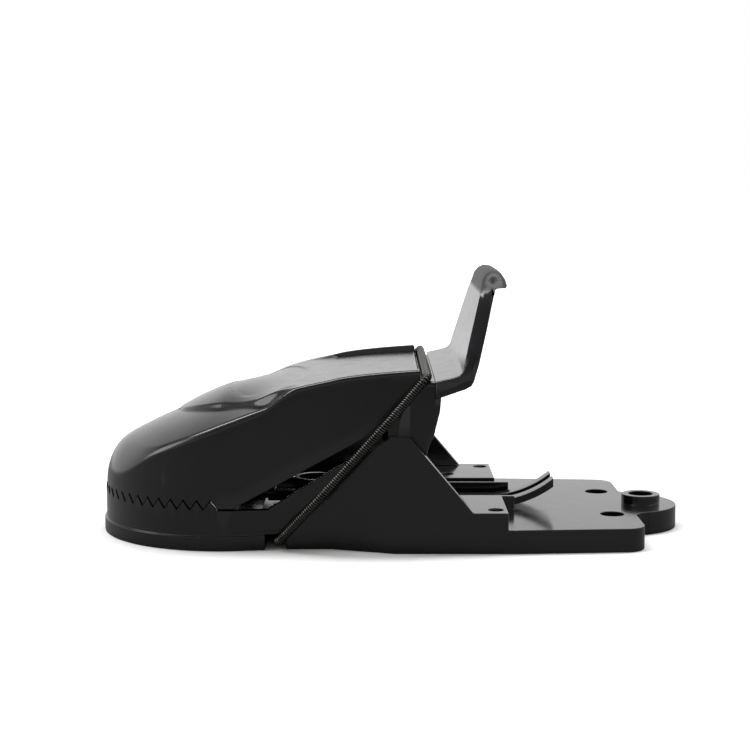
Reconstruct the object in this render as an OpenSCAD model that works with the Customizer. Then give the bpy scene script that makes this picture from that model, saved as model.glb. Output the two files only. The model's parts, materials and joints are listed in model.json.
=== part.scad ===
// Snap mouse trap: two toothed plastic jaws that an endless loop of coil spring snaps shut.
// Millimetres. +Z is up and the mouth faces -X. The origin is the middle of the footprint,
// on the surface that the trap stands on. Every module works from the jaw's hinge axis,
// which is x = 0 there, and the last lines move the whole trap to the origin.

/* [Overall] */
// Width over the two side brackets
trap_width = 46.8; // [39:0.2:57]
// Tip of the jaws to the hinge axis
jaw_len = 52.5; // [50:0.5:63]
// Hinge axis to the rear end of the deck blocks
deck_len = 16.5; // [16:0.5:20]
// Rear end of the deck blocks to the rear edge of the plate
plate_len = 22.8; // [19:0.2:28]
// Height of the hinge axis
hinge_z = 9.5; // [9.2:0.1:10.5]

/* [Base] */
// Height of the plate's upper face
plate_top = 3.9; // [3.6:0.1:4.2]
// Height of the mouth's floor
floor_top = 2.8; // [2.6:0.1:3.2]
// Thickness of the moulded skins
skin = 1.5; // [1.3:0.1:1.6]
// Thickness of the lower jaw's wall
wall = 1.6; // [1.2:0.1:2]
// Thickness of a side bracket
bracket_t = 2; // [1.8:0.1:2.4]
// Height of the brackets' flat tops
bracket_top = 19; // [17:0.5:20]
// Height of the deck blocks
deck_top = 6.7; // [6.4:0.1:6.8]
// Height of the lower jaw's rim between the teeth
rim_top = 6.6; // [6:0.1:7]
// How far the skirt stands proud of the wall
skirt_proud = 0.35; // [0.2:0.05:0.6]
// Height of the skirt
skirt_h = 2.4; // [2:0.1:3]
// How far the waist behind the jaws is set in from the brackets
waist_in = 3.4; // [2:0.1:4]
// Half the inner width of the trigger's channel
channel_y = 6; // [5.8:0.1:7]
// Thickness of the channel's walls
channel_wall = 1; // [0.8:0.1:1.2]
// Height of the channel's walls
channel_top = 6.35; // [6.2:0.05:6.6]
// Gap between a channel wall and its deck block
deck_gap = 1.5; // [1:0.1:2]
// Radius of the rear tongue
tongue_r = 9.2; // [8:0.2:11]
// Radius of the two plate holes
plate_hole_r = 2; // [1.5:0.1:2.4]
// Distance between the two plate holes
plate_hole_gap = 20.2; // [16:0.2:24]
// Bore radius of the tubular boss on the tongue
boss_bore_r = 2.1; // [1.5:0.1:2.4]
// Outer radius of that boss
boss_r = 3.35; // [3:0.05:4]
// Height of that boss
boss_top = 5.5; // [5:0.1:8]
// Radius of the four small holes in the deck blocks
deck_hole_r = 1.25; // [0.8:0.05:1.5]

/* [Teeth] */
// Distance from tooth to tooth
tooth_pitch = 2.3; // [1.9:0.1:2.8]
// Height of a tooth
tooth_h = 1.5; // [1.2:0.1:1.8]
// Gap between the closed jaws
jaw_gap = 0.25; // [0.2:0.05:0.4]

/* [Upper jaw] */
// Height of the jaw's top at its rear edge
jaw_top = 29.7; // [28:0.1:31]
// Thickness of the jaw's wall
jaw_wall = 1.6; // [1.2:0.1:2]
// Gap between an ear of the jaw and its bracket
ear_gap = 0.3; // [0.2:0.05:0.5]
// Thickness of an ear
ear_t = 1.8; // [1.5:0.1:2.2]
// Radius of the trunnions that the jaw turns on
trunnion_r = 1.5; // [1.2:0.1:1.8]
// Radial clearance of every running fit
run_gap = 0.06; // [0.02:0.01:0.1]

/* [Setting handle] */
// Height of the handle's cap
handle_top = 45.6; // [43:0.2:50]
// Half the handle's width at its foot
handle_foot_y = 23.5; // [20:0.1:24]
// Half the handle's width at its cap
handle_cap_y = 14; // [11:0.2:17]

/* [Spring] */
// Outer diameter of the coil spring
spring_d = 1.5; // [1.2:0.1:1.8]
// Gap between the spring's straight side and the bracket that it passes
spring_gap = 0.1; // [0.05:0.05:0.3]

/* [Trigger and bait cup] */
// Half the width of the trigger's forked tail
tail_y = 4; // [3.5:0.1:5]
// Half the gap between the tail's two ribs
tail_slot_y = 1.25; // [0.8:0.05:1.6]
// Height of the ribs
tail_t = 1.2; // [0.8:0.1:1.4]
// Distance from the hinge axis back to the tip of the tail
tail_reach = 25.8; // [24:0.2:27]
// Height of the tail's tip
tail_tip_z = 8.9; // [8:0.1:9]
// Half the width of the pedal
pedal_y = 9; // [8:0.5:12]
// Length of the pedal
pedal_len = 11; // [9:0.5:13]
// Radius of the steel pin that the trigger turns on
pin_r = 0.8; // [0.6:0.05:1]
// Outer radius of the bait cup
cup_r = 4; // [3.6:0.1:4]
// Thickness of the cup's wall
cup_wall = 0.75; // [0.6:0.05:0.8]
// Height of the cup's rim
cup_rim_z = 8.6; // [7.5:0.1:10]

/* [Hidden] */
$fn = 96;
eps = 0.01;
far = 80;

half_w = trap_width / 2;
plate_end = deck_len + plate_len;
tongue_in = 0.8;
tongue_x = plate_end - tongue_in;
tongue_end = tongue_x + tongue_r;
trap_len = jaw_len + tongue_end;
hinge_x = jaw_len - trap_len / 2;

// Lower jaw: a round front that narrows to a waist and flares into the brackets
skirt_in = 1.8;
skirt_r = half_w - skirt_in;
base_r = skirt_r - skirt_proud;
front_x = skirt_r - jaw_len;
waist_y = half_w - waist_in;
waist_x = -20.4;
waist_end_x = -12.4;
// The brackets are full width from just ahead of the trunnions' bores
flare_x = -trunnion_r - 0.5;
plate_taper = 1.2;
plate_rear_y = half_w - plate_taper;
corner_r = 3.5;
fillet_r = 2.5;
fillet_y = sqrt(pow(tongue_r + fillet_r, 2) - pow(plate_end + fillet_r - tongue_x, 2));
slope_x = -22.8;
apex_x = [-2.6, 0.5];
bracket_foot_x = 10.8;
deck_front = -7.4;
deck_y = channel_y + channel_wall + deck_gap;
channel_front = -8.6;
channel_end = deck_len + 2.3;
plate_hole_in = 4.1;
plate_hole_x = plate_end - plate_hole_in;
boss_out = 3.1;
boss_x = tongue_x + boss_out;
// The deck blocks' holes: distance in from the block's rear end and its place across
deck_hole_in = [1.9, 8.5];
deck_hole_y = [half_w - 3, deck_y + 4.2];
// The hollow under the plate stops short of the rear edge, where the plate holes are
plate_pocket_in = 8.5;

// Teeth: the lower jaw has one on the centre line, the upper jaw fills the gaps
tooth_deg = tooth_pitch / base_r * 180 / PI;
teeth = floor(87 / tooth_deg);
// How far the tooth cuts reach past the wall on each side
cut_past = 2 * skin;

// Upper jaw
jaw_y = half_w - bracket_t - ear_gap;
jaw_front = front_x - jaw_y;
jaw_back = 2.2;
jaw_low = rim_top + jaw_gap;
jaw_slope_x = -28.5;
jaw_rise = [-3.1, 20.7];
ledge_drop = 1.8;
ledge_top = jaw_top - ledge_drop;
handle_x = 4.6;
// The handle's fold, where the foot meets the upright, and the foot's underside
fold_z = ledge_top + 1.25;
foot_low = fold_z - 3.85;
ear_y = jaw_y - 0.4;
ear_boss_r = hinge_z - deck_top - ear_gap;
ear_rib_x = [-1.4, 0.6];
ear_room_x = -3.4;
trunnion_end_y = half_w - bracket_t + 1.1;
trunnion_end_gap = 0.2;

// Spring: side strands run from the notch up to the groove behind the jaw's top
spring_r = spring_d / 2;
strand_gap = spring_r + 0.03;
// The rounded ends are a little slimmer than the coil
end_r = spring_r - 0.05;
spring_lift = 0.75;
spring_room = 0.25;
spring_high = [3.3, ledge_top + spring_r + 0.15];
spring_low_y = waist_y + spring_r + 0.55;
spring_side_y = half_w + spring_r + spring_gap;
spring_knee = 0.56;

// Trigger
side_gap = 0.35;
floor_gap = 0.1;
pin_x = -6.4;
pin_z = floor_top + 1.8;
pin_end_y = channel_y + channel_wall;
hub_r = pin_z - floor_top - floor_gap;
hub_y = channel_y - side_gap;
tail_top = pin_z + 0.3;
tail_bend_x = deck_len - 1.9;
lever_lift = 0.15;
lever_t = tail_top - floor_top - 0.9;
lever_end_x = tail_bend_x - 3;
tail_run = tail_reach - tail_bend_x;
tail_rise = tail_tip_z - tail_top;
tail_r = (tail_run * tail_run + tail_rise * tail_rise) / (2 * tail_rise);
bar_t = 1.6;
bar_x = channel_front - 0.5 - bar_t;
arm_t = 1.8;
arm_y = cup_r + 1.4;
arm_h = 1.8;
pedal_z = [6.4, 7.4];
pedal_rim = [3, 2.5];
pedal_side = 4;
pedal_front_r = pedal_y + 3;

// Bait cup, ahead of the trigger's cross bar, and the spring's lower run ahead of the cup
cup_x = bar_x - 0.6 - cup_r;
cup_base_z = 0.4;
cup_flange = [0.6, 0.8];
cup_collar = 1;
coin_slot = 1;
pedal_back = cup_x - cup_r - 3;
spring_low = [cup_x - cup_r - 1.7, spring_r + spring_lift];
knee = spring_low + spring_knee * (spring_high - spring_low);
notch_x = [spring_low[0] - 2.2, spring_low[0] + 1.2];
notch_top = spring_low[1] + spring_r + spring_room;
hump_top = notch_top + skin;

// A solid that is the side view "outline" pulled across the trap from y0 to y1
module across(y0, y1) {
    translate([0, y1, 0])
        rotate([90, 0, 0])
            linear_extrude(height = y1 - y0)
                children();
}

// The same solid on both sides of the trap
module both_sides() {
    children();
    mirror([0, 1, 0])
        children();
}

// Everything above the plane through three points
module above_plane(a, b, c) {
    n = cross(b - a, c - a);
    translate(a)
        rotate([0, acos(n[2] / norm(n)), atan2(n[1], n[0])])
            translate([-far, -far, 0])
                cube([2 * far, 2 * far, far]);
}

// A length of spring from a to b that stops short of each point by its gap
module strand(a, b, gap_a, gap_b) {
    v = b - a;
    translate(a)
        rotate([0, acos(v[2] / norm(v)), atan2(v[1], v[0])])
            translate([0, 0, gap_a])
                cylinder(h = norm(v) - gap_a - gap_b, r = spring_r);
}

// A straight run of spring across the trap, rounded where it turns into the side strands
module spring_run(at, end_y) {
    strand([at[0], -end_y, at[1]], [at[0], end_y, at[1]], 0, 0);
    both_sides()
        translate([at[0], end_y, at[1]])
            sphere(r = end_r);
}

// Plan of the base, drawn "inset" inside its outer faces
module base_plan(inset) {
    side = [[front_x, base_r - inset], [waist_x, waist_y - inset], [waist_end_x, waist_y - inset],
            [flare_x, half_w - inset], [deck_len + 2, half_w - inset],
            [plate_end - corner_r, plate_rear_y - inset]];
    other = [for (i = [len(side) - 1:-1:0]) [side[i][0], -side[i][1]]];
    rear_y = plate_rear_y - corner_r;
    translate([front_x, 0])
        circle(r = base_r - inset);
    polygon(concat(side, other));
    translate([plate_end - corner_r - 1, -rear_y])
        square([corner_r + 1 - inset, 2 * rear_y]);
    for (s = [-1, 1])
        translate([plate_end - corner_r, s * rear_y])
            circle(r = corner_r - inset);
    translate([tongue_x, 0])
        circle(r = tongue_r - inset);
    for (s = [-1, 1])
        difference() {
            translate([plate_end - inset - 1, s * (fillet_y + 4) / 2 - fillet_y / 2 + 2])
                square([1 + fillet_r, fillet_y - 4]);
            translate([plate_end + fillet_r, s * fillet_y])
                circle(r = fillet_r + inset);
        }
}

// Side view of the walls: toothed front, low sill, rising sides and the brackets' rear slopes
module wall_profile() {
    polygon([[-far, 0], [-far, rim_top + tooth_h], [front_x, rim_top + tooth_h],
             [front_x, rim_top], [slope_x, rim_top], [apex_x[0], bracket_top],
             [apex_x[1], bracket_top], [bracket_foot_x, deck_top], [deck_len, deck_top],
             [deck_len, 0]]);
}

// V-shaped gaps round the front, "turn" teeth off the middle and "point" high at the point,
// open upwards for the lower jaw (way = 1) or downwards for the upper jaw (way = -1)
module tooth_gaps(turn, point, way) {
    for (i = [-teeth - 2 * turn:teeth])
        translate([front_x, 0, point])
            rotate([0, 0, (i + turn) * tooth_deg])
                translate([cut_past + wall - base_r, 0, 0])
                    rotate([90, 0, -90])
                        linear_extrude(height = 2 * cut_past + wall)
                            polygon([[0, 0], [tooth_pitch / 2, way * tooth_h],
                                     [tooth_pitch / 2, way * (tooth_h + 1)],
                                     [-tooth_pitch / 2, way * (tooth_h + 1)],
                                     [-tooth_pitch / 2, way * tooth_h]]);
}

module base() {
    color([0.06, 0.06, 0.065])
        difference() {
            union() {
                // plate behind the mouth, floor of the mouth
                linear_extrude(height = floor_top)
                    base_plan(0);
                intersection() {
                    linear_extrude(height = plate_top)
                        base_plan(0);
                    translate([deck_front, -far, 0])
                        cube([2 * far, 2 * far, far]);
                }
                // walls and brackets
                intersection() {
                    linear_extrude(height = far)
                        difference() {
                            base_plan(0);
                            translate([-far + waist_end_x, -far])
                                square([far, 2 * far]);
                            translate([-far, -half_w + bracket_t])
                                square([2 * far, trap_width - 2 * bracket_t]);
                        }
                    across(-far, far)
                        wall_profile();
                }
                intersection() {
                    linear_extrude(height = far)
                        difference() {
                            base_plan(0);
                            base_plan(wall);
                        }
                    across(-far, far)
                        intersection() {
                            wall_profile();
                            translate([-far, 0])
                                square([far + flare_x, far]);
                        }
                }
                // deck blocks
                intersection() {
                    linear_extrude(height = deck_top)
                        base_plan(0);
                    both_sides()
                        translate([deck_front, deck_y, 0])
                            cube([deck_len - deck_front, far, far]);
                }
                // walls of the trigger's channel
                both_sides()
                    translate([channel_front, channel_y, 0])
                        cube([channel_end - channel_front, channel_wall, channel_top]);
                // skirt round the front
                intersection() {
                    linear_extrude(height = skirt_h)
                        base_plan(-skirt_proud);
                    translate([notch_x[0] - far, -far, 0])
                        cube([far, 2 * far, far]);
                }
                // hump over the spring's lower run, collar of the bait cup, boss on the tongue
                translate([notch_x[0] - skin, -waist_y + wall / 2, 0])
                    cube([notch_x[1] - notch_x[0] + skin, 2 * waist_y - wall, hump_top]);
                translate([cup_x, 0, 0])
                    cylinder(h = hump_top, r = cup_r + cup_collar);
                translate([boss_x, 0, 0])
                    cylinder(h = boss_top, r = boss_r);
            }
            tooth_gaps(0.5, rim_top, 1);
            // room for the upper jaw's ears between the brackets
            translate([ear_room_x, -half_w + bracket_t, deck_top])
                cube([far, trap_width - 2 * bracket_t, far]);
            // the channel's floor lies lower than the plate
            translate([channel_front - eps, -channel_y, floor_top])
                cube([channel_end - channel_front + eps, 2 * channel_y, far]);
            // hollow underside of the mouth, the deck blocks and the plate
            difference() {
                translate([0, 0, -eps])
                    linear_extrude(height = floor_top - skin)
                        base_plan(wall);
                translate([deck_front, -far, -1])
                    cube([far, 2 * far, far]);
                translate([notch_x[0] - skin, -far, -1])
                    cube([skin, 2 * far, far]);
            }
            intersection() {
                translate([0, 0, -eps])
                    linear_extrude(height = plate_top - skin)
                        base_plan(wall);
                union() {
                    both_sides()
                        translate([deck_front + skin, deck_y + skin, -1])
                            cube([deck_len - deck_front - 2 * skin, far, far]);
                    both_sides()
                        translate([deck_len + skin, skin / 2, -1])
                            cube([plate_end - deck_len - plate_pocket_in, far, far]);
                }
            }
            intersection() {
                translate([0, 0, -eps])
                    linear_extrude(height = deck_top - skin)
                        base_plan(bracket_t);
                both_sides()
                    translate([deck_front + skin, deck_y + skin, -1])
                        cube([deck_len - deck_front - 2 * skin, far, far]);
            }
            // notch and groove for the spring's lower run
            translate([notch_x[0], -far, -1])
                cube([notch_x[1] - notch_x[0], 2 * far, 1 + notch_top]);
            // bores: bait cup, trigger pin, trunnions, plate, boss and deck blocks
            translate([cup_x, 0, -1])
                cylinder(h = far, r = cup_r + run_gap);
            translate([pin_x, -pin_end_y - eps, pin_z])
                rotate([-90, 0, 0])
                    cylinder(h = 2 * (pin_end_y + eps), r = pin_r);
            both_sides()
                translate([0, jaw_y, hinge_z])
                    rotate([-90, 0, 0])
                        cylinder(h = trunnion_end_y - jaw_y + trunnion_end_gap,
                                 r = trunnion_r + run_gap);
            for (s = [-1, 1])
                translate([plate_hole_x, s * plate_hole_gap / 2, -1])
                    cylinder(h = far, r = plate_hole_r);
            translate([boss_x, 0, -1])
                cylinder(h = far, r = boss_bore_r);
            for (i = [0, 1])
                both_sides()
                    translate([deck_len - deck_hole_in[i], deck_hole_y[i], plate_top])
                        cylinder(h = far, r = deck_hole_r);
        }
}

module trigger_pin() {
    color("silver")
        translate([pin_x, -pin_end_y, pin_z])
            rotate([-90, 0, 0])
                cylinder(h = 2 * pin_end_y, r = pin_r);
}

module bait_cup() {
    color([0.1, 0.1, 0.1])
        translate([cup_x, 0, 0])
            difference() {
                union() {
                    translate([0, 0, cup_base_z])
                        cylinder(h = cup_rim_z - cup_base_z, r = cup_r);
                    translate([0, 0, cup_base_z])
                        cylinder(h = cup_flange[1], r = cup_r + cup_flange[0]);
                }
                translate([0, 0, cup_base_z + cup_wall])
                    cylinder(h = far, r = cup_r - cup_wall);
                // slot for a coin or a fingernail under the cup
                translate([-cup_r / 2, -coin_slot / 2, cup_base_z - eps])
                    cube([cup_r, coin_slot, cup_wall / 2]);
            }
}

// Side view of the lever and its upturned tail, "t" thick below the top face
module tail_profile(t) {
    translate([pin_x, tail_top - t])
        square([tail_bend_x - pin_x, t]);
    intersection() {
        translate([tail_bend_x, tail_top + tail_r])
            difference() {
                circle(r = tail_r + t);
                circle(r = tail_r);
            }
        translate([tail_bend_x, 0])
            square([tail_run, tail_tip_z]);
    }
}

module trigger() {
    color([0.05, 0.05, 0.055])
        difference() {
            union() {
                // forked tail: two ribs on a thin web, thicker along the lever
                both_sides()
                    across(tail_slot_y, tail_y)
                        tail_profile(tail_t);
                across(-tail_slot_y - eps, tail_slot_y + eps)
                    intersection() {
                        tail_profile(tail_t);
                        translate([0, -tail_t / 2])
                            tail_profile(tail_t);
                    }
                translate([pin_x, -tail_y, floor_top + lever_lift])
                    cube([lever_end_x - pin_x, 2 * tail_y, lever_t]);
                // hub on the pin, with the cross bar in front of it
                translate([pin_x, -hub_y, pin_z])
                    rotate([-90, 0, 0])
                        cylinder(h = 2 * hub_y, r = hub_r);
                translate([bar_x, -hub_y, tail_top])
                    cube([pin_x - bar_x, 2 * hub_y, hub_r + pin_z - tail_top - floor_gap]);
                translate([bar_x, -arm_y - arm_t, tail_top])
                    cube([bar_t, 2 * (arm_y + arm_t), pedal_z[1] - tail_top]);
                // arms past the bait cup
                both_sides()
                    translate([pedal_back - pedal_rim[1] / 2, arm_y, pedal_z[1] - arm_h])
                        cube([bar_x - pedal_back + pedal_rim[1], arm_t, arm_h]);
                // pedal, open in the middle, with a round front
                translate([0, 0, pedal_z[0]])
                    linear_extrude(height = pedal_z[1] - pedal_z[0])
                        difference() {
                            intersection() {
                                translate([pedal_back - pedal_len, -pedal_y])
                                    square([pedal_len, 2 * pedal_y]);
                                translate([pedal_back - pedal_len + pedal_front_r, 0])
                                    circle(r = pedal_front_r);
                            }
                            translate([pedal_back - pedal_len + pedal_rim[0], pedal_side - pedal_y])
                                square([pedal_len - pedal_rim[0] - pedal_rim[1],
                                        2 * (pedal_y - pedal_side)]);
                        }
            }
            translate([pin_x, -far, pin_z])
                rotate([-90, 0, 0])
                    cylinder(h = 2 * far, r = pin_r + run_gap);
        }
}

// Plan of the upper jaw, drawn "inset" inside its outer faces
module jaw_plan(inset) {
    translate([front_x, 0])
        circle(r = jaw_y - inset);
    translate([front_x, -jaw_y + inset])
        square([jaw_back - front_x - inset, 2 * (jaw_y - inset)]);
}

// Side view of the upper jaw: domed top over a straight lower edge that rises to the ears
module jaw_profile(lower) {
    run = jaw_back - jaw_front;
    top = jaw_top - lower;
    polygon([[jaw_front, 0], [jaw_front, top - 16.9], [jaw_front + 0.05 * run, top - 14.2],
             [jaw_front + 0.24 * run, top - 9.6], [jaw_front + 0.32 * run, top - 6.8],
             [jaw_front + 0.42 * run, top - 4.5], [jaw_front + 0.7 * run, top - 2.2],
             [jaw_front + 0.86 * run, top - 0.8], [jaw_back, top], [jaw_back, 0]]);
}

// Space under the upper jaw's lower edge
module jaw_under() {
    polygon([[-far, -far], [-far, jaw_low], [jaw_slope_x, jaw_low], jaw_rise,
             [far, jaw_rise[1]], [far, -far]]);
}

module jaw_block(inset) {
    difference() {
        intersection() {
            linear_extrude(height = far)
                jaw_plan(inset);
            across(-far, far)
                jaw_profile(inset);
        }
        // sloping shoulders beside the raised top
        both_sides()
            above_plane([jaw_front + 8, -jaw_y + 6, jaw_top - 14.5 - inset],
                        [-22.4, -jaw_y, jaw_top - 5.5 - inset],
                        [-33, -5, jaw_top - 6 - inset]);
    }
}

module upper_jaw() {
    color([0.05, 0.055, 0.06]) {
        difference() {
            jaw_block(0);
            translate([0, 0, -eps])
                jaw_block(jaw_wall);
            across(-far, far)
                jaw_under();
            tooth_gaps(0, rim_top + tooth_h + jaw_gap, -1);
        }
        // ledge that the spring lies on, with the wall below it
        translate([jaw_back - jaw_wall, -jaw_y, ledge_top - jaw_wall])
            cube([handle_x - jaw_back + jaw_wall, 2 * jaw_y, jaw_wall]);
        translate([handle_x - jaw_wall, -jaw_y, jaw_rise[1]])
            cube([jaw_wall, 2 * jaw_y, ledge_top - jaw_rise[1]]);
        // ears down to the hinge, each with a rib and a trunnion
        both_sides() {
            across(ear_y - ear_t, ear_y)
                ear_profile();
            across(ear_y - eps, jaw_y)
                translate([ear_rib_x[0], hinge_z])
                    square([ear_rib_x[1] - ear_rib_x[0], ledge_top - hinge_z - jaw_wall]);
            translate([0, ear_y - ear_t, hinge_z])
                rotate([-90, 0, 0])
                    cylinder(h = trunnion_end_y - ear_y + ear_t, r = trunnion_r);
        }
    }
}

module ear_profile() {
    translate([0, hinge_z])
        circle(r = ear_boss_r);
    polygon([[-ear_boss_r, hinge_z], [ear_boss_r, hinge_z], [3.2, foot_low - 9],
             [4.5, foot_low - 5.9], [5.4, foot_low - 2.2], [5.6, foot_low], [handle_x, foot_low],
             [handle_x, ledge_top], [-6, ledge_top], [-6, jaw_rise[1] - 2],
             [jaw_rise[0], jaw_rise[1] - 1]]);
}

// Side view of the handle: foot plate, leaning upright and hooked cap
module handle_profile() {
    cap = handle_top - 3;
    polygon([[handle_x, foot_low], [handle_x, fold_z - 1.05], [8.7, fold_z], [9.65, fold_z + 3.85],
             [10.75, fold_z + 7.35], [12, cap - 2], [12.4, cap + 0.9], [13.3, cap + 2.4],
             [14.6, cap + 3], [15.8, cap + 2.4], [16.5, cap + 1.2], [16.8, cap + 0.1],
             [14.6, cap], [13, fold_z + 6.85], [11.7, fold_z + 2.05], [10.4, fold_z - 1.75],
             [9.2, fold_z - 2.35], [5.4, fold_z - 3.65]]);
}

module setting_handle() {
    wide_z = ledge_top + 1.4;
    color([0.06, 0.06, 0.07])
        intersection() {
            across(-handle_foot_y, handle_foot_y)
                handle_profile();
            rotate([90, 0, 90])
                linear_extrude(height = far)
                    polygon([[-handle_foot_y, 0], [handle_foot_y, 0], [handle_foot_y, wide_z],
                             [handle_cap_y + 0.6, handle_top - 3], [handle_cap_y - 2.4, handle_top],
                             [2.4 - handle_cap_y, handle_top], [-handle_cap_y - 0.6, handle_top - 3],
                             [-handle_foot_y, wide_z]]);
        }
}

module spring_top() {
    color("dimgray")
        spring_run(spring_high, spring_side_y);
}

module spring_bottom() {
    color("dimgray")
        spring_run(spring_low, spring_low_y);
}

// The left strand: from the notch out to the knee (lower), and on up to the groove (upper)
module spring_lower() {
    color("dimgray") {
        strand([spring_low[0], spring_low_y, spring_low[1]],
               [knee[0], spring_side_y, knee[1]], strand_gap, 0);
        translate([knee[0], spring_side_y, knee[1]])
            sphere(r = end_r);
    }
}

module spring_upper() {
    color("dimgray")
        strand([knee[0], spring_side_y, knee[1]],
               [spring_high[0], spring_side_y, spring_high[1]], strand_gap, strand_gap);
}

module placed() {
    translate([hinge_x, 0, 0])
        children();
}

module placed_right() {
    mirror([0, 1, 0])
        placed()
            children();
}

placed() base();
placed() trigger_pin();
placed() bait_cup();
placed() trigger();
placed() upper_jaw();
placed() setting_handle();
placed() spring_top();
placed() spring_bottom();
placed() spring_lower();  // spring_lower_left
placed_right() spring_lower();  // spring_lower_right
placed() spring_upper();  // spring_upper_left
placed_right() spring_upper();  // spring_upper_right
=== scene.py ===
# %% [markdown]
# # A moulded snap mouse trap
# Two toothed jaws of gloss black plastic are snapped shut by one endless loop of coil spring.
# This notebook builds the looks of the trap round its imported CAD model. Everything is in
# metres and in the CAD frame: the mouth faces -X, the rear tongue is at +X and Z is up.

# %% Load the frame
import json
import math
from bisect import bisect_right

import bmesh
import bpy
from mathutils import Matrix, Vector


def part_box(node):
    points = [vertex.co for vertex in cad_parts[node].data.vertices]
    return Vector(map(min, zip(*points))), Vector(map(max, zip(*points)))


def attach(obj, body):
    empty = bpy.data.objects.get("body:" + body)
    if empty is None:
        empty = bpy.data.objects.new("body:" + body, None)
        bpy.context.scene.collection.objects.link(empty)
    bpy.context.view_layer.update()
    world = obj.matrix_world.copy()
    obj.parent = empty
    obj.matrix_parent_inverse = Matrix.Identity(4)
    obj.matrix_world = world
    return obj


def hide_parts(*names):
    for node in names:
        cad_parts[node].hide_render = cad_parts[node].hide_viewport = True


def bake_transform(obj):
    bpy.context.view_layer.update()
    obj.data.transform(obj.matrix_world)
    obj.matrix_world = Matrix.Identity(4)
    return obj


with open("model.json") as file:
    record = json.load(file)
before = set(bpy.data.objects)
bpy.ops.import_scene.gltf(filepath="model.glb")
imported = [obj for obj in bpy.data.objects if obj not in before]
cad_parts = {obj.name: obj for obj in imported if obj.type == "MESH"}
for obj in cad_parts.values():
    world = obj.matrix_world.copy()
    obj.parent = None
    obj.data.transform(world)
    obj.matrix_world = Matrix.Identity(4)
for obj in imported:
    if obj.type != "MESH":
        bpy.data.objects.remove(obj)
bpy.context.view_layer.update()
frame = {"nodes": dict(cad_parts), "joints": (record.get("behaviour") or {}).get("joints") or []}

# %% [markdown]
# ## Driving sizes
# The drawing of the trap is in millimetres, so the helpers below take millimetres and turn
# them into metres once, when a mesh is finished. Places come from the CAD boxes, so that a
# piece sits where the CAD says.

# %% Driving sizes
MM = 0.001


def box_mm(node):
    """Lowest and highest corner of a CAD node, in millimetres."""
    low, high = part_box(node)
    return low / MM, high / MM


jaw_low = box_mm("upper_jaw")[0]
handle_low = box_mm("setting_handle")[0]
hinge = Vector([j["pos_m"] for j in frame["joints"] if j["name"] == "jaw_hinge"][0]) / MM
print("hinge axis at", tuple(round(v, 2) for v in hinge))


def steps(count):
    """count + 1 even steps from 0 to 1."""
    return [i / count for i in range(count + 1)]


def clamp01(t):
    return max(0.0, min(1.0, t))


def smooth(a, b, x):
    """0 before a, 1 after b, and an S curve between."""
    t = clamp01((x - a) / (b - a))
    return t * t * (3 - 2 * t)


def curve_through(points):
    """A function of x that passes smoothly through the points, and is level outside them."""
    xs = [p[0] for p in points]
    ys = [p[1] for p in points]
    last = len(points) - 1
    slopes = [(ys[i + 1] - ys[i]) / (xs[i + 1] - xs[i]) for i in range(last)]
    tangents = [slopes[0]] + [
        0 if a * b <= 0 else 2 * a * b / (a + b) for a, b in zip(slopes, slopes[1:])
    ] + [slopes[-1]]

    def value(x):
        if x <= xs[0]:
            return ys[0]
        if x >= xs[-1]:
            return ys[-1]
        i = bisect_right(xs, x) - 1
        h = xs[i + 1] - xs[i]
        t = (x - xs[i]) / h
        rise = (2 * t**3 - 3 * t**2 + 1) * ys[i] + (3 * t**2 - 2 * t**3) * ys[i + 1]
        lean = (t**3 - 2 * t**2 + t) * tangents[i] + (t**3 - t**2) * tangents[i + 1]
        return rise + h * lean

    return value


def finished(bm, name, body, material, smooth_angle=35):
    """Turn a bmesh in millimetres into an object that rides on a CAD body."""
    bmesh.ops.scale(bm, vec=(MM, MM, MM), verts=bm.verts)
    mesh = bpy.data.meshes.new(name)
    for face in bm.faces:
        face.smooth = True
    limit = math.radians(smooth_angle)
    for edge in bm.edges:
        edge.smooth = len(edge.link_faces) == 2 and edge.calc_face_angle(0) < limit
    bm.to_mesh(mesh)
    bm.free()
    piece = bpy.data.objects.new(name, mesh)
    bpy.context.scene.collection.objects.link(piece)
    mesh.materials.append(material)
    if body:
        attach(piece, body)
    print(name, len(mesh.vertices), "points", len(mesh.polygons), "faces")
    return piece


# %% [markdown]
# ## Camera, light and floor
# The trap is seen almost from the side, from a little above its handle. It stands on a
# plain pale floor. Gloss black plastic shows only what it mirrors, so the room is shaped for
# it: bright and low behind, which lights the flat tops; dim above and in front, which leaves
# the upright sides black; and a softbox overhead, which draws a thin line along each edge.

# %% Camera
camera_data = bpy.data.cameras.new("camera")
camera_data.lens = 77.66
camera_data.sensor_width = 36
camera = bpy.data.objects.new("camera", camera_data)
bpy.context.scene.collection.objects.link(camera)
camera.location = (-0.00277, -0.28065, 0.05995)
camera.rotation_euler = (math.radians(90 - 6.8), 0, 0)
camera_data.clip_start = 0.01
camera_data.clip_end = 20
bpy.context.scene.camera = camera
print("camera", camera_data.lens, "mm lens at", tuple(round(v, 3) for v in camera.location))

# %% [markdown]
# The floor is white paper to the camera and glows with distance, so that it has no horizon.
# In the plastic it is dim, but for the far part behind the trap.

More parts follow.
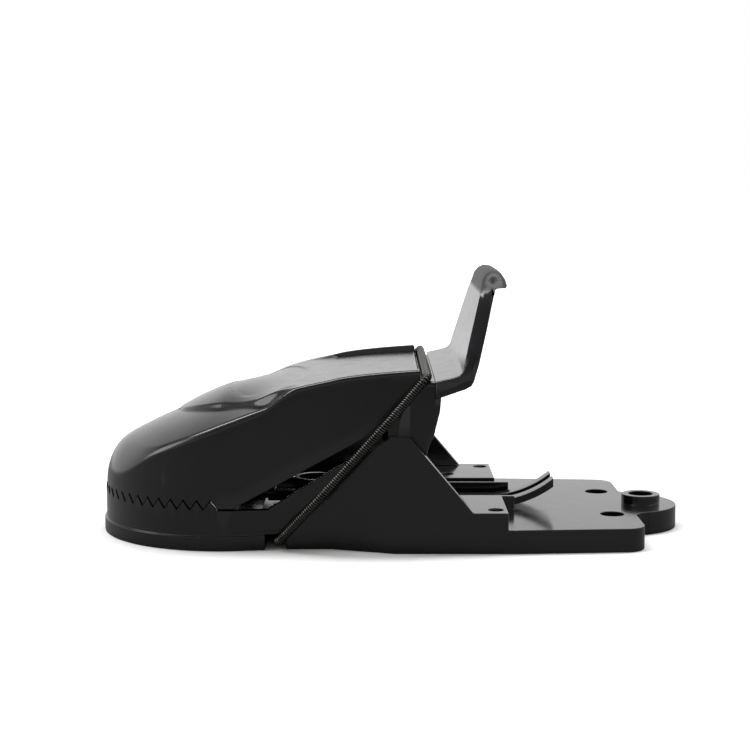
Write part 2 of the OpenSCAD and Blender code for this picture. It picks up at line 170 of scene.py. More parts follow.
# %% Floor
floor_radius = 6
floor_drop = 0.00002
floor_bm = bmesh.new()
bmesh.ops.create_circle(floor_bm, cap_ends=True, segments=96, radius=floor_radius)
bmesh.ops.translate(floor_bm, vec=(0, 0, -floor_drop), verts=floor_bm.verts)
floor_mesh = bpy.data.meshes.new("floor")
floor_bm.to_mesh(floor_mesh)
floor_bm.free()
floor = bpy.data.objects.new("floor", floor_mesh)
bpy.context.scene.collection.objects.link(floor)
floor_paint = bpy.data.materials.new("floor_paint")
floor_paint.use_nodes = True
floor_nodes, floor_links = floor_paint.node_tree.nodes, floor_paint.node_tree.links
floor_nodes.clear()
paper = floor_nodes.new("ShaderNodeBsdfDiffuse")
paper.inputs["Color"].default_value = (0.86, 0.86, 0.85, 1)
backlight = floor_nodes.new("ShaderNodeEmission")
floor_place = floor_nodes.new("ShaderNodeTexCoord")
floor_far = floor_nodes.new("ShaderNodeVectorMath")
floor_far.operation = "LENGTH"
floor_glow = floor_nodes.new("ShaderNodeMapRange")
floor_glow.interpolation_type = "SMOOTHSTEP"
floor_glow.inputs["From Min"].default_value = 0.06
floor_glow.inputs["From Max"].default_value = 0.4
floor_glow.inputs["To Max"].default_value = 1.0
floor_links.new(floor_place.outputs["Object"], floor_far.inputs[0])
floor_links.new(floor_far.outputs["Value"], floor_glow.inputs["Value"])
floor_links.new(floor_glow.outputs[0], backlight.inputs["Strength"])
lit_paper = floor_nodes.new("ShaderNodeAddShader")
floor_split = floor_nodes.new("ShaderNodeSeparateXYZ")
behind = floor_nodes.new("ShaderNodeMapRange")
behind.interpolation_type = "SMOOTHSTEP"
behind.inputs["From Min"].default_value = 0.12
behind.inputs["From Max"].default_value = 0.35
behind.inputs["To Max"].default_value = 0.9
sweep = floor_nodes.new("ShaderNodeEmission")
dim_far = floor_nodes.new("ShaderNodeAddShader")
floor_links.new(floor_place.outputs["Object"], floor_split.inputs[0])
floor_links.new(floor_split.outputs["Y"], behind.inputs["Value"])
floor_links.new(behind.outputs[0], sweep.inputs["Strength"])
dim_paper = floor_nodes.new("ShaderNodeBsdfDiffuse")
dim_paper.inputs["Color"].default_value = (0.2, 0.2, 0.2, 1)
who_looks = floor_nodes.new("ShaderNodeLightPath")
floor_choose = floor_nodes.new("ShaderNodeMixShader")
floor_out = floor_nodes.new("ShaderNodeOutputMaterial")
floor_links.new(paper.outputs[0], lit_paper.inputs[0])
floor_links.new(backlight.outputs[0], lit_paper.inputs[1])
floor_links.new(who_looks.outputs["Is Camera Ray"], floor_choose.inputs[0])
floor_links.new(dim_paper.outputs[0], dim_far.inputs[0])
floor_links.new(sweep.outputs[0], dim_far.inputs[1])
floor_links.new(dim_far.outputs[0], floor_choose.inputs[1])
floor_links.new(lit_paper.outputs[0], floor_choose.inputs[2])
floor_links.new(floor_choose.outputs[0], floor_out.inputs["Surface"])
floor_mesh.materials.append(floor_paint)
print("floor", 2 * floor_radius, "m across")

# %% [markdown]
# The camera sees a white room. The plastic mirrors a backdrop that is brightest low down
# behind the trap and fades upwards and towards the front.

# %% Room light
world = bpy.data.worlds.new("studio")
bpy.context.scene.world = world
world.use_nodes = True
nodes, links = world.node_tree.nodes, world.node_tree.links
nodes.clear()
place = nodes.new("ShaderNodeTexCoord")
split = nodes.new("ShaderNodeSeparateXYZ")
links.new(place.outputs["Generated"], split.inputs[0])


def ramp(source, start, end, low, high):
    """A smooth step of a direction's X, Y or Z from low to high."""
    node = nodes.new("ShaderNodeMapRange")
    node.interpolation_type = "SMOOTHSTEP"
    for name, value in (("From Min", start), ("From Max", end), ("To Min", low), ("To Max", high)):
        node.inputs[name].default_value = value
    links.new(split.outputs[source], node.inputs["Value"])
    return node.outputs[0]


backdrop = nodes.new("ShaderNodeMath")
backdrop.operation = "MULTIPLY"
links.new(ramp("Y", -0.85, -0.2, 0.6, 1.05), backdrop.inputs[0])
links.new(ramp("Z", 0.25, 0.65, 1.0, 0.3), backdrop.inputs[1])
surround = nodes.new("ShaderNodeBackground")
links.new(backdrop.outputs[0], surround.inputs["Strength"])
surround.inputs["Color"].default_value = (1, 1, 1, 1)
seen = nodes.new("ShaderNodeBackground")
seen.inputs["Color"].default_value = (1, 1, 1, 1)
seen.inputs["Strength"].default_value = 1.0
path = nodes.new("ShaderNodeLightPath")
choose = nodes.new("ShaderNodeMixShader")
out = nodes.new("ShaderNodeOutputWorld")
links.new(path.outputs["Is Camera Ray"], choose.inputs[0])
links.new(surround.outputs[0], choose.inputs[1])
links.new(seen.outputs[0], choose.inputs[2])
links.new(choose.outputs[0], out.inputs["Surface"])


def softbox(name, at, towards, width, depth, power):
    light = bpy.data.lights.new(name, "AREA")
    light.shape = "RECTANGLE"
    light.size = width
    light.size_y = depth
    light.energy = power
    lamp = bpy.data.objects.new(name, light)
    bpy.context.scene.collection.objects.link(lamp)
    lamp.location = at
    lamp.rotation_euler = (Vector(towards) - Vector(at)).to_track_quat("-Z", "Y").to_euler()
    return lamp


softbox("top_light", (-0.02, 0.1, 0.6), (0, 0, 0), 1.0, 0.2, 6)
softbox("left_light", (-0.6, -0.1, 0.3), (0, 0, 0.02), 0.3, 0.4, 1.5)
bpy.context.scene.view_settings.view_transform = "Standard"

# %% [markdown]
# ## Materials
# One gloss black moulding compound makes the whole trap but for the spring and the
# trigger's pin. It is faintly cloudy and slightly wavy, as moulded plastic is, with a fine
# grain and paler rubbed edges. The handle's cap is satin, where a thumb would slip on gloss.

# %% Black moulding


def moulding(name, gloss, grain, satin_above=None):
    """Gloss black plastic: faint cloudiness, fine moulded grain and paler rubbed edges."""
    material = bpy.data.materials.new(name)
    material.use_nodes = True
    tree = material.node_tree
    add, link = tree.nodes.new, tree.links.new
    shader = tree.nodes["Principled BSDF"]
    shader.inputs["IOR"].default_value = 1.5
    where = add("ShaderNodeTexCoord")

    def noise(scale, detail, rough=0.5):
        node = add("ShaderNodeTexNoise")
        node.inputs["Scale"].default_value = scale
        node.inputs["Detail"].default_value = detail
        node.inputs["Roughness"].default_value = rough
        link(where.outputs["Object"], node.inputs["Vector"])
        return node

    cloud = noise(90, 3)
    tint = add("ShaderNodeValToRGB")
    tint.color_ramp.elements[0].position = 0.3
    tint.color_ramp.elements[0].color = (0.0048, 0.005, 0.0062, 1)
    tint.color_ramp.elements[1].position = 0.75
    tint.color_ramp.elements[1].color = (0.0075, 0.0078, 0.0094, 1)
    link(cloud.outputs["Fac"], tint.inputs["Fac"])
    wear = add("ShaderNodeNewGeometry")
    edge = add("ShaderNodeValToRGB")
    edge.color_ramp.elements[0].position = 0.53
    edge.color_ramp.elements[0].color = (0, 0, 0, 1)
    edge.color_ramp.elements[1].position = 0.62
    edge.color_ramp.elements[1].color = (0.35, 0.35, 0.35, 1)
    link(wear.outputs["Pointiness"], edge.inputs["Fac"])
    mixed = add("ShaderNodeMix")
    mixed.data_type = "RGBA"
    mixed.inputs["B"].default_value = (0.03, 0.031, 0.033, 1)
    link(edge.outputs["Color"], mixed.inputs["Factor"])
    link(tint.outputs["Color"], mixed.inputs["A"])
    link(mixed.outputs["Result"], shader.inputs["Base Color"])

    rub = noise(420, 4, 0.6)
    rough = add("ShaderNodeMapRange")
    rough.inputs["To Min"].default_value = gloss
    rough.inputs["To Max"].default_value = gloss + 0.1
    link(rub.outputs["Fac"], rough.inputs["Value"])
    link(rough.outputs[0], shader.inputs["Roughness"])
    if satin_above:
        height = add("ShaderNodeSeparateXYZ")
        link(where.outputs["Object"], height.inputs[0])
        satin = add("ShaderNodeMapRange")
        satin.inputs["From Min"].default_value = satin_above * MM
        satin.inputs["From Max"].default_value = (satin_above + 0.8) * MM
        satin.inputs["To Max"].default_value = 0.34
        link(height.outputs["Z"], satin.inputs["Value"])
        rougher = add("ShaderNodeMath")
        link(rough.outputs[0], rougher.inputs[0])
        link(satin.outputs[0], rougher.inputs[1])
        link(rougher.outputs[0], shader.inputs["Roughness"])

    fine = noise(2600, 2)
    wave = noise(55, 2)
    waves = add("ShaderNodeBump")
    waves.inputs["Strength"].default_value = 0.1
    waves.inputs["Distance"].default_value = 0.0003
    link(wave.outputs["Fac"], waves.inputs["Height"])
    bump = add("ShaderNodeBump")
    bump.inputs["Strength"].default_value = grain
    bump.inputs["Distance"].default_value = 0.00002
    link(fine.outputs["Fac"], bump.inputs["Height"])
    link(waves.outputs["Normal"], bump.inputs["Normal"])
    link(bump.outputs["Normal"], shader.inputs["Normal"])
    return material


jaw_plastic = moulding("jaw_plastic", 0.14, 0.2)
base_plastic = moulding("base_plastic", 0.1, 0.12)
trigger_plastic = moulding("trigger_plastic", 0.08, 0.1)
handle_plastic = moulding("handle_plastic", 0.14, 0.25, satin_above=41.6)
print("mouldings", [m.name for m in bpy.data.materials if m.name.endswith("plastic")])

# %% [markdown]
# The spring is oil-blackened wire. Its grooves between turns and the inner side of each turn
# are painted near black as shade; the crown of each turn keeps the wire's own colour. The
# "crown" value is stored on the coil when it is wound. The pin is plain bright wire.

# %% Spring and pin steel


def steel(name, colour, roughness, streak, wound=False):
    material = bpy.data.materials.new(name)
    material.use_nodes = True
    tree = material.node_tree
    add, link = tree.nodes.new, tree.links.new
    shader = tree.nodes["Principled BSDF"]
    shader.inputs["Metallic"].default_value = 1.0
    where = add("ShaderNodeTexCoord")
    noise = add("ShaderNodeTexNoise")
    noise.inputs["Scale"].default_value = streak
    noise.inputs["Detail"].default_value = 4
    link(where.outputs["Object"], noise.inputs["Vector"])
    tint = add("ShaderNodeValToRGB")
    tint.color_ramp.elements[0].position = 0.35
    tint.color_ramp.elements[0].color = (*[0.55 * c for c in colour], 1)
    tint.color_ramp.elements[1].position = 0.7
    tint.color_ramp.elements[1].color = (*colour, 1)
    link(noise.outputs["Fac"], tint.inputs["Fac"])
    link(tint.outputs["Color"], shader.inputs["Base Color"])
    # Painted shade: away from the stored crown, in the grooves and on each turn's inner side, the
    # colour is mixed to near black.
    if wound:
        crown = add("ShaderNodeAttribute")
        crown.attribute_name = "crown"
        groove_shade = add("ShaderNodeMix")
        groove_shade.data_type = "RGBA"
        groove_shade.inputs["A"].default_value = (0.006, 0.006, 0.006, 1)
        link(crown.outputs["Fac"], groove_shade.inputs["Factor"])
        link(tint.outputs["Color"], groove_shade.inputs["B"])
        link(groove_shade.outputs["Result"], shader.inputs["Base Color"])
    rough = add("ShaderNodeMapRange")
    rough.inputs["To Min"].default_value = roughness
    rough.inputs["To Max"].default_value = roughness + 0.2
    link(noise.outputs["Fac"], rough.inputs["Value"])
    link(rough.outputs[0], shader.inputs["Roughness"])
    bump = add("ShaderNodeBump")
    bump.inputs["Strength"].default_value = 0.2
    bump.inputs["Distance"].default_value = 0.00002
    link(noise.outputs["Fac"], bump.inputs["Height"])
    link(bump.outputs["Normal"], shader.inputs["Normal"])
    return material


spring_steel = steel("spring_steel", (0.12, 0.118, 0.108), 0.26, 700, wound=True)
pin_steel = steel("pin_steel", (0.62, 0.62, 0.6), 0.22, 900)
print("steels", spring_steel.name, pin_steel.name)

# %% [markdown]
# ## Base, trigger, bait cup and pin
# These pieces are already right in the CAD model, but for the small round on every edge
# that a moulding tool leaves. A copy of each mesh is merged, its flat faces are dissolved,
# and its sharp edges are bevelled.

# %% Bevelled copies of CAD nodes


def bevelled_copy(node, body, material, width, skip=None):
    """A copy of a CAD node with its sharp edges rounded over by width millimetres."""
    bm = bmesh.new()
    bm.from_mesh(frame["nodes"][node].data)
    bmesh.ops.scale(bm, vec=(1 / MM, 1 / MM, 1 / MM), verts=bm.verts)
    bmesh.ops.remove_doubles(bm, verts=bm.verts, dist=0.002)
    bmesh.ops.dissolve_degenerate(bm, dist=0.002, edges=bm.edges)
    bmesh.ops.dissolve_limit(bm, angle_limit=math.radians(0.8), verts=bm.verts, edges=bm.edges)
    sharp = [e for e in bm.edges if len(e.link_faces) == 2
             and e.calc_face_angle(0) > math.radians(32) and not (skip and skip(e))]
    if width:
        bmesh.ops.bevel(bm, geom=sharp, offset=width, offset_type="OFFSET", segments=2,
                        profile=0.5, affect="EDGES", material=-1, clamp_overlap=False)
    piece = finished(bm, node + "_moulding", body, material)
    flat = piece.modifiers.new("flat_faces", "WEIGHTED_NORMAL")
    flat.keep_sharp = True
    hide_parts(node)
    return piece


teeth_rear_x = -26
teeth_foot_z = 6


def near_teeth(edge):
    """True for an edge on the lower jaw's rim, where the teeth are too small to bevel."""
    mid = (edge.verts[0].co + edge.verts[1].co) / 2
    return mid.x < teeth_rear_x and mid.z > teeth_foot_z


bevelled_copy("base", "base", base_plastic, 0.16, near_teeth)
bevelled_copy("trigger", "trigger", trigger_plastic, 0.12)
bevelled_copy("bait_cup", "bait_cup", trigger_plastic, 0.1)
bevelled_copy("trigger_pin", "base", pin_steel, 0.1)

# %% [markdown]
# ## Upper jaw
# The jaw is a thin moulded shell: a wall that follows a round-nosed outline, a soft round
# over its top edge, a crowned nose, and a raised panel that grows out of the nose. A sheet
# is laid over that form: its columns run round the outline, and its rows run from the
# middle of the top, down the wall, round the toothed lower edge and back up the inside.

# %% Outline of the jaw
jaw_half = 21.1
nose_x = jaw_low.x + jaw_half
ledge_x = 4.6
ledge_z = 27.9
rear_x = handle_low.x
wall_t = 1.6
teeth_z = 6.85
tooth_h = 1.5
tooth_angle = 2.3 / 21.25
teeth_each_side = 14.5
slope_start = (-26.1, teeth_z)
slope_end = (-0.7, 20.7)
ear_boss_r = 2.5
ear_front = hinge.x - ear_boss_r


def columns():
    """Places along the outline: (x, side) on the straight sides and an angle on the nose."""
    runs = [(rear_x, ledge_x + 0.3, 12), (ledge_x + 0.3, ledge_x + 0.04, 4),
            (ledge_x + 0.04, ledge_x - 0.5, 9), (ledge_x - 0.5, ear_front, 16),
            (ear_front, slope_end[0], 5), (slope_end[0], -16.5, 36), (-16.5, -22.5, 30),
            (-22.5, slope_start[0], 9), (slope_start[0], nose_x, 6)]
    xs = [a + (b - a) * t for a, b, n in runs for t in steps(n)[:-1]]
    per_side = int(teeth_each_side * 8)
    nose = [i * tooth_angle / 8 for i in range(-per_side, per_side + 1)]
    right = [("side", x, -1) for x in xs]
    middle = [("nose", math.pi / 2 * max(-1, min(1, a / nose[-1])), a) for a in nose]
    return right + middle + [("side", x, 1) for x in reversed(xs)]


outline = columns()
print("columns round the jaw", len(outline))

# %% [markdown]
# The top is a height for every place on the plan. The nose falls away towards the teeth and
# meets the side wall in a soft crease. A raised panel spreads out behind it until it reaches
# the walls, and there the crease runs out. Further back a rim stands up along each side, a
# shallow oval is sunk in the panel, and a step down at the rear is the spring's ledge.

# %% Shape of the jaw's top
nose_line = curve_through([(-49.6, 12.3), (-49.0, 13.5), (-46.8, 15.6), (-42.4, 18.1),
                           (-36.8, 20.6), (-30.0, 23.1), (-20.0, 25.3), (0.0, 27.4)])
panel_line = curve_through([(-37.5, 20.6), (-32.5, 23.2), (-27.9, 25.0), (-21.6, 26.2),
                            (-11.6, 27.4), (-3.7, 28.3), (4.6, 28.8)])
panel_half = curve_through([(-36.8, 0.0), (-36.4, 2.6), (-35.2, 5.8), (-32.0, 9.8),
                            (-26.4, 14.4), (-21.5, 18.2), (-19.4, 19.3), (-17.4, 20.1),
                            (-15.5, 20.9), (-14.0, 22.0)])
rim_line = curve_through([(-22.0, 24.8), (-19.6, 25.85), (-15.6, 26.9), (-10.8, 27.95),
                          (-7.8, 28.6), (-1.4, 29.35), (4.6, 29.8)])
bead_y = 19.3
panel_foot_x = -37.2
oval_x = -21.2
oval_half = (6.6, 14.5)
oval_depth = 0.13
lip_r = 0.45


def crease_line(x):
    """Height of the soft crease where the nose's top meets the side wall."""
    return 24.1 + 0.393 * (x + 19.1)


def edge_line(x):
    """Height of the wall's upper edge behind the nose, where the crease runs out."""
    return crease_line(x) + smooth(-21.5, -14.5, x) * (rim_line(x) - crease_line(x))


def half_width(x):
    """Half the jaw's width at x."""
    if x > nose_x:
        return jaw_half
    return math.sqrt(max(0.0, jaw_half**2 - (x - nose_x) ** 2))


def top_height(x, y, detail=True):
    """Height of the jaw's upper surface."""
    wide = max(half_width(x), 0.5)
    q = min(1.0, abs(y) / wide)
    nose = nose_line(x) - max(0.0, nose_line(x) - crease_line(min(x, -19.1))) * q**2
    crown = 0.010 * (1 - smooth(-28, -16, x)) * y * y
    panel = panel_line(x) - crown
    edge = panel_half(x) - abs(y)
    soft = 0.55 - 0.25 * smooth(-35, -28, x) + 0.5 * smooth(-22, -18, x)
    share = smooth(-soft, soft, edge) if x > panel_foot_x else 0.0
    nose += smooth(-23, -19, x) * smooth(17.2, 19.2, abs(y)) * (edge_line(x) - nose)
    rear = smooth(-11.3, -8.8, x)
    lift = (1 - rear) * smooth(-20.5, -17.3, x) * smooth(17.2, 19.3, abs(y))
    lift += rear * smooth(bead_y - 0.06, bead_y + 0.06, abs(y))
    panel += lift * (rim_line(x) - panel)
    height = nose + (panel - nose) * share
    if detail:
        oval = math.hypot((x - oval_x) / oval_half[0], y / oval_half[1])
        height -= oval_depth * smooth(1.02, 0.99, oval)
    if x > ledge_x - lip_r:
        t = clamp01((x - ledge_x + lip_r) / lip_r)
        height -= lip_r * (1 - math.sqrt(max(0.0, 1 - t * t)))
    if x > ledge_x + 0.02:
        height = ledge_z
    return height


print("panel is", round(top_height(-10, 0), 2), "mm high, nose is", round(top_height(-45, 0), 2))

# %% [markdown]
# Each column of the sheet starts at the middle of the top, runs outwards and over the round,
# goes down the wall to its own lower edge (teeth at the nose, then a level run, a slope and
# the ear) and comes back up the inside, one wall thickness in.

# %% Rows of the jaw's sheet


def plan_point(column, inset):
    kind, along, side = column
    reach = max(0.0, jaw_half - inset)
    if kind == "side":
        return along, side * reach
    return nose_x - reach * math.cos(along), reach * math.sin(along)


ear_front_line = curve_through([slope_end, (ear_front, hinge.z)])
ear_rear_line = curve_through([(hinge.x + ear_boss_r, hinge.z), (5.3, 13.6), (6.0, 17.2),
                               (6.9, 19.3), (7.1, 20.2)])


def lower_edge(column):
    """Height of the wall's lower edge: teeth, level, slope, then down and round the ear."""
    kind, along, side = column
    if kind == "nose":
        turn = side / tooth_angle
        return teeth_z + tooth_h * (1 - 2 * abs(turn - round(turn)))
    if along < slope_start[0]:
        return teeth_z
    if along < slope_end[0]:
        share = (along - slope_start[0]) / (slope_end[0] - slope_start[0])
        return slope_start[1] + share * (slope_end[1] - slope_start[1])
    from_hinge = along - hinge.x
    if abs(from_hinge) <= ear_boss_r:
        return hinge.z - math.sqrt(ear_boss_r**2 - from_hinge**2)
    return ear_front_line(along) if from_hinge < 0 else ear_rear_line(along)


def round_radius(x):
    """Radius of the round over the wall's top edge: soft at the nose, crisp behind."""
    return 3.2 - 2.3 * smooth(-47, -38, x) - 0.2 * smooth(-24, -18, x)


top_rows = 100
round_rows = 7
wall_rows = 8
inner_rows = 8


bead_insets = [jaw_half - bead_y - 0.05, jaw_half - bead_y + 0.05]


def jaw_rows(column):
    """The points of one column, from the middle of the top to the middle of the ceiling."""
    x_edge = plan_point(column, 0)[0]
    radius = round_radius(x_edge)
    points = []
    rims = [max(inset, radius + 0.02 * k) for k, inset in enumerate(bead_insets, 1)]
    for inset in sorted(rims + [jaw_half + (radius - jaw_half) * t**0.8
                                       for t in steps(top_rows)], reverse=True):
        x, y = plan_point(column, inset)
        points.append((x, y, top_height(x, y)))
    for t in steps(round_rows)[1:]:
        angle = math.pi / 2 * (1 - t)
        inset = radius * (1 - math.cos(angle))
        x, y = plan_point(column, inset)
        points.append((x, y, top_height(x, y) - radius * (1 - math.sin(angle))))
    high, low = points[-1][2], lower_edge(column)
    for t in steps(wall_rows)[1:]:
        z = high + (low + 0.12 - high) * t
        points.append((*plan_point(column, 0), z))
    for inset in (0.12, wall_t - 0.12):
        points.append((*plan_point(column, inset), low))
    x, y = plan_point(column, wall_t)
    ceiling = top_height(x, y, detail=False) - wall_t
    for t in steps(inner_rows)[1:]:
        points.append((x, y, low + 0.12 + (ceiling - low - 0.12) * t))
    for t in steps(inner_rows)[1:]:
        x, y = plan_point(column, wall_t + (jaw_half - wall_t) * t)
        points.append((x, y, top_height(x, y, detail=False) - wall_t))
    return points


print("points in each column", len(jaw_rows(outline[0])))

# %% [markdown]
# One flat grid is made, and each of its points is moved to its place on the form. Points
# that meet are merged, and the open edge at the rear is closed with one face.

# %% Lay the sheet over the form


def slab(bm, outline_xz, y0, y1):
    """A solid that is a side view pulled across from y0 to y1. Returns its faces."""
    corners = [bm.verts.new((x, y0, z)) for x, z in outline_xz]
    face = bm.faces.new(corners)
    made = bmesh.ops.extrude_face_region(bm, geom=[face])
    moved = [v for v in made["geom"] if isinstance(v, bmesh.types.BMVert)]
    bmesh.ops.translate(bm, vec=(0, y1 - y0, 0), verts=moved)
    faces = {f for v in corners + moved for f in v.link_faces}
    bmesh.ops.recalc_face_normals(bm, faces=list(faces))
    return list(faces)


def both_sides_slab(bm, outline_xz, y0, y1):
    return slab(bm, outline_xz, y0, y1) + slab(bm, outline_xz, -y1, -y0)


def soften(bm, faces, width, segments=2, angle=30):
    """Bevel the sharp edges of these faces."""
    edges = {e for f in faces for e in f.edges if len(e.link_faces) == 2
             and e.calc_face_angle(0) > math.radians(angle)}
    bmesh.ops.bevel(bm, geom=list(edges), offset=width, offset_type="OFFSET",
                    segments=segments, profile=0.5, affect="EDGES", material=-1)


jaw_bm = bmesh.new()
sheet_rows = [jaw_rows(column) for column in outline]
tall = len(sheet_rows[0])
bmesh.ops.create_grid(jaw_bm, x_segments=len(outline) - 1, y_segments=tall - 1, size=0.5)
for v in jaw_bm.verts:
    i = round((v.co.x + 0.5) * (len(outline) - 1))
    j = round((v.co.y + 0.5) * (tall - 1))
    v.co = sheet_rows[i][j]
bmesh.ops.remove_doubles(jaw_bm, verts=jaw_bm.verts, dist=0.004)
bmesh.ops.dissolve_degenerate(jaw_bm, dist=0.001, edges=jaw_bm.edges)
rear_loop = [e for e in jaw_bm.edges if e.is_boundary]
bmesh.ops.edgeloop_fill(jaw_bm, edges=rear_loop)
bmesh.ops.recalc_face_normals(jaw_bm, faces=jaw_bm.faces)
print("open edges left", sum(e.is_boundary for e in jaw_bm.edges))

# %% [markdown]
# The rear wall, the backs of the ears, their upright ribs and the two stub axles are plain
# solids that overlap the sheet, and each has its sharp edges rounded.

# %% Rear wall, ears and trunnions
rear_wall = slab(jaw_bm, [(rear_x - wall_t, 20.7), (rear_x - 0.03, 20.7), (rear_x - 0.03, 27.0),
                          (rear_x - wall_t, 27.0)], 0.1 - jaw_half, jaw_half - 0.1)
soften(jaw_bm, rear_wall, 0.2)
ear_back = both_sides_slab(jaw_bm, [(5.4, 17.0), (5.9, 17.0), (6.9, 19.35), (7.8, 23.0),
                                    (8.0, 25.25), (5.4, 25.25)],
                           jaw_half - 1.5, jaw_half - 0.04)
soften(jaw_bm, ear_back, 0.2)
rib = both_sides_slab(jaw_bm, [(1.0, hinge.z), (3.0, hinge.z), (3.0, 24.0), (1.0, 24.0)],
                      jaw_half - 0.5, jaw_half + 0.1)
soften(jaw_bm, rib, 0.12)
for side in (-1, 1):
    stub = bmesh.ops.create_cone(
        jaw_bm, cap_ends=True, segments=40, radius1=1.5, radius2=1.5, depth=3.0,
        matrix=Matrix.Translation((hinge.x, side * 21.0, hinge.z)) @ Matrix.Rotation(
            math.pi / 2, 4, "X"))
    rims = {e for v in stub["verts"] for e in v.link_edges if e.calc_face_angle(0) > 1}
    bmesh.ops.bevel(jaw_bm, geom=list(rims), offset=0.25, offset_type="OFFSET", segments=3,
                    profile=0.5, affect="EDGES", material=-1)
upper_jaw = finished(jaw_bm, "upper_jaw_moulding", "upper_jaw", jaw_plastic)
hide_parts("upper_jaw")

# %% [markdown]
# ## Setting handle
# The handle is a thick folded plate: a foot behind the spring's groove, a broad upright
# that leans back and narrows, and a cap that hooks over for the thumb. Its side view is
# pulled across the trap and cut into strips, and the width then follows the height. A low
# band is raised along each end, and the ends of the cap are rolled in.

# %% Handle
handle_front = [(7.0, 28.15), (9.6, 28.75), (10.7, 29.1), (11.15, 29.5), (11.45, 30.2),
                (12.3, 33.6), (13.2, 36.9), (14.3, 40.9), (14.75, 42.9)]
handle_cap = [(15.05, 44.1), (15.7, 45.0), (16.6, 45.45), (17.6, 45.35), (18.4, 44.85),
              (18.95, 44.0), (19.2, 43.0), (19.0, 42.6), (18.2, 42.6), (17.5, 42.55)]
handle_back = [(17.05, 42.35), (16.2, 39.0), (15.45, 36.0), (14.1, 31.2), (13.15, 28.2),
               (12.75, 27.45), (11.8, 26.9), (7.9, 25.55), (7.0, 25.3)]
half_at = curve_through([(25.0, 23.4), (29.3, 23.4), (33.0, 21.0), (36.9, 18.35),
                         (41.0, 15.6), (43.2, 14.0), (45.3, 12.4)])
cap_foot = 42.35
cap_middle = (16.6, 43.2)
cap_roll_from = 0.8
cap_roll_in = 0.75
cap_wider = 0.25
cap_droop = 0.4
handle_bm = bmesh.new()
slab(handle_bm, handle_front + handle_cap + handle_back, -1, 1)
for cut_z in (32.4, 34.8, 37.9, 39.95, cap_foot):
    bmesh.ops.bisect_plane(
        handle_bm, geom=handle_bm.verts[:] + handle_bm.edges[:] + handle_bm.faces[:],
        plane_co=(0, 0, cut_z), plane_no=(0, 0, 1))
across_edges = [e for e in handle_bm.edges if abs(e.verts[0].co.y - e.verts[1].co.y) > 1]
bmesh.ops.subdivide_edges(handle_bm, edges=across_edges, cuts=95)
ends = [f for f in handle_bm.faces if abs(f.normal.y) > 0.9
        and f.calc_center_median().z < cap_foot]
bmesh.ops.inset_region(handle_bm, faces=ends, thickness=0.8, depth=0.008,
                       use_even_offset=True, use_boundary=True)
for v in handle_bm.verts:
    share = v.co.y
    high = smooth(40.5, 44.5, v.co.z)
    cap = smooth(cap_foot - 0.2, cap_foot + 0.6, v.co.z)
    rolled = clamp01((abs(share) - cap_roll_from) / (1 - cap_roll_from))
    shrink = 1 - cap * cap_roll_in * (1 - math.sqrt(1 - rolled**2))
    v.co.y = share * (half_at(v.co.z) + cap_wider * cap)
    v.co.x = cap_middle[0] + (v.co.x - cap_middle[0]) * shrink
    v.co.z = cap_middle[1] + (v.co.z - cap_middle[1]) * shrink
    v.co.z -= cap_droop * high * abs(share) ** 3.2
bmesh.ops.recalc_face_normals(handle_bm, faces=handle_bm.faces)
end_edges = [e for e in handle_bm.edges if e.calc_face_angle(0) > math.radians(38)
             and max(v.co.z for v in e.verts) < cap_foot + 0.2
             and min(abs(v.co.y) for v in e.verts) > 0.99 * half_at(e.verts[0].co.z)]
bmesh.ops.bevel(handle_bm, geom=end_edges, offset=0.28, offset_type="OFFSET", segments=3,
                profile=0.5, affect="EDGES", material=-1, clamp_overlap=True)
handle = finished(handle_bm, "setting_handle_moulding", "upper_jaw",
                  handle_plastic, 40)
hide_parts("setting_handle")

# %% [markdown]
# ## Loop spring
# One wire is wound into a long close coil, and the coil is closed into a loop. A small ring
# is spun once about an axis while it climbs, which is just how a coil is wound. That one
# turn is repeated end to end, and the straight coil is then bent along its path.

# %% Coil and path
spring_r = 0.75
wire_r = 0.185
pitch = 0.42
strand_low = Vector((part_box("spring_bottom")[0].x / MM + spring_r, 0, 1.5))
strand_high = Vector((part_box("spring_top")[0].x / MM + spring_r, 0, 28.8))


def path_table(points):
    """Even samples of a path: (length so far, place, two directions across it)."""
    table = []
    across = None
    length = 0.0
    for a, b in zip(points, points[1:]):
        along = (b - a).normalized()
        if across is None:
            across = along.orthogonal().normalized()
        across = (across - along * across.dot(along)).normalized()
        table.append((length, a, across, along.cross(across)))
        length += (b - a).length
    table.append((length, points[-1], across, along.cross(across)))
    return table


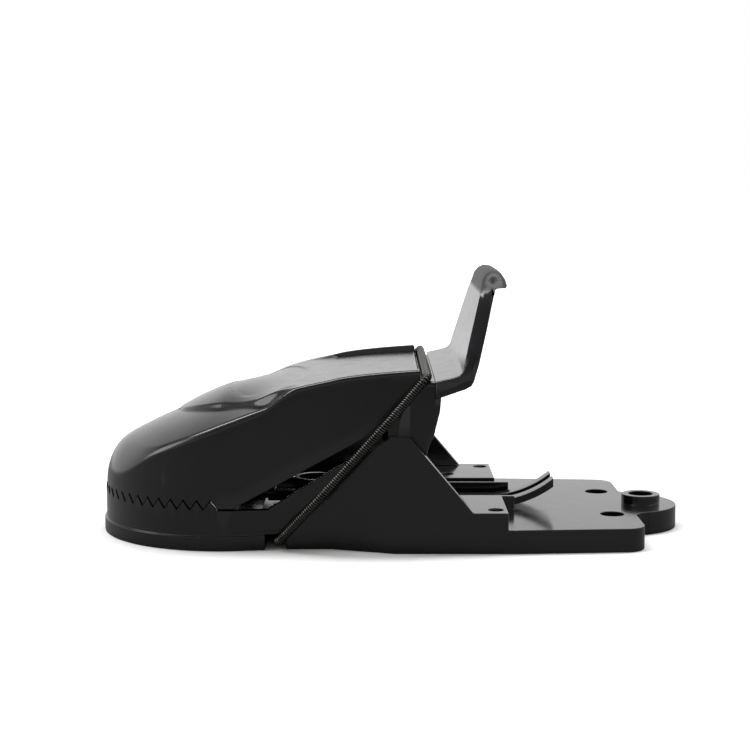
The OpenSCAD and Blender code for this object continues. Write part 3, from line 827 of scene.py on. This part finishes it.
def bent_coil(bm, points):
    """A close-wound coil of the spring's diameter along a path."""
    table = path_table(points)
    length = table[-1][0]
    turns = int(length / pitch)
    per_turn = 12
    ring = bmesh.ops.create_circle(bm, cap_ends=False, segments=7, radius=wire_r, matrix=(
        Matrix.Translation((spring_r - wire_r, 0, 0)) @ Matrix.Rotation(math.pi / 2, 4, "X")))
    climb = length / turns
    bmesh.ops.spin(bm, geom=ring["verts"] + bm.edges[:], cent=(0, 0, 0), axis=(0, 0, 1),
                   dvec=(0, 0, climb / per_turn), angle=2 * math.pi, steps=per_turn)
    one_turn = bm.verts[:] + bm.edges[:] + bm.faces[:]
    for turn in range(1, turns):
        copy = bmesh.ops.duplicate(bm, geom=one_turn)
        moved = [v for v in copy["geom"] if isinstance(v, bmesh.types.BMVert)]
        bmesh.ops.translate(bm, vec=(0, 0, turn * climb), verts=moved)
    bmesh.ops.remove_doubles(bm, verts=bm.verts, dist=0.001)
    bmesh.ops.holes_fill(bm, edges=[e for e in bm.edges if e.is_boundary])
    # crown is 1 on the outside of each turn and falls to 0 towards the coil's axis, where the
    # material paints shade.
    crown = bm.verts.layers.float.new("crown")
    at = 0
    for v in sorted(bm.verts, key=lambda v: v.co.z):
        v[crown] = smooth(spring_r - 0.75 * wire_r, spring_r, v.co.to_2d().length) ** 2
        while at < len(table) - 2 and table[at + 1][0] < v.co.z:
            at += 1
        start, place, one, other = table[at]
        step = table[at + 1][1] - place
        t = (v.co.z - start) / max(step.length, 1e-9)
        one = one.lerp(table[at + 1][2], clamp01(t)).normalized()
        other = other.lerp(table[at + 1][3], clamp01(t)).normalized()
        v.co = place + step * t + one * v.co.x + other * v.co.y
    bmesh.ops.recalc_face_normals(bm, faces=bm.faces)
    return length


def corner(centre_to, a, b, radius, count=10):
    """Points of a round corner at centre_to between directions a and b, both outwards."""
    half = a.angle(b) / 2
    reach = radius / math.tan(half)
    start, end = centre_to + a * reach, centre_to + b * reach
    hub = centre_to + (a + b).normalized() * (radius / math.sin(half))
    points = []
    for t in steps(count):
        arm = (start - hub).normalized().slerp((end - hub).normalized(), t)
        points.append(hub + arm * radius)
    return points


print("coil", 2 * spring_r, "mm thick, a turn every", pitch, "mm")

# %% [markdown]
# The endless coil is made as four lengths that meet end to end: one over the jaw, one under
# the base, and a strand on each side. The side strands hang between the jaw and the base and
# are tied to neither, so they stay where they are built.

# %% Two straight runs and two side strands
low_half = 21.3
high_half = 22.6
side_offset = curve_through([(0.0, 21.4), (0.12, 22.6), (0.34, 24.2), (0.72, 24.2),
                             (0.9, 22.9), (1.0, high_half)])
bend_r = 1.3


def side_path(side):
    """The side strand's middle line, from the lower run to the upper run."""
    mid = [strand_low.lerp(strand_high, t) + Vector((0, side * side_offset(t), 0))
           for t in [0.05 + 0.9 * s for s in steps(60)]]
    low_corner = strand_low + Vector((0, side * low_half, 0))
    high_corner = strand_high + Vector((0, side * high_half, 0))
    inward = Vector((0, -side, 0))
    first = corner(low_corner, inward, (mid[0] - low_corner).normalized(), bend_r)
    last = corner(high_corner, (mid[-1] - high_corner).normalized(), inward, bend_r)
    return first + mid + last


left_path, right_path = side_path(1), side_path(-1)
print("side strand", round(path_table(left_path)[-1][0], 2), "mm along its middle line")
strands = {"spring_left": left_path, "spring_right": right_path}
for name, way in strands.items():
    coil_bm = bmesh.new()
    bent_coil(coil_bm, way)
    strand = finished(coil_bm, name, None, spring_steel, 60)
    side = name.split("_")[1]
    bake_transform(strand)
    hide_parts("spring_lower_" + side, "spring_upper_" + side)

runs = {"spring_over_jaw": ("upper_jaw", "spring_top", left_path[-1], right_path[-1]),
        "spring_under_base": ("base", "spring_bottom", left_path[0], right_path[0])}
for name, (body, node, a, b) in runs.items():
    coil_bm = bmesh.new()
    bent_coil(coil_bm, [a, a.lerp(b, 0.5), b])
    run = finished(coil_bm, name, body, spring_steel, 60)
    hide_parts(node)
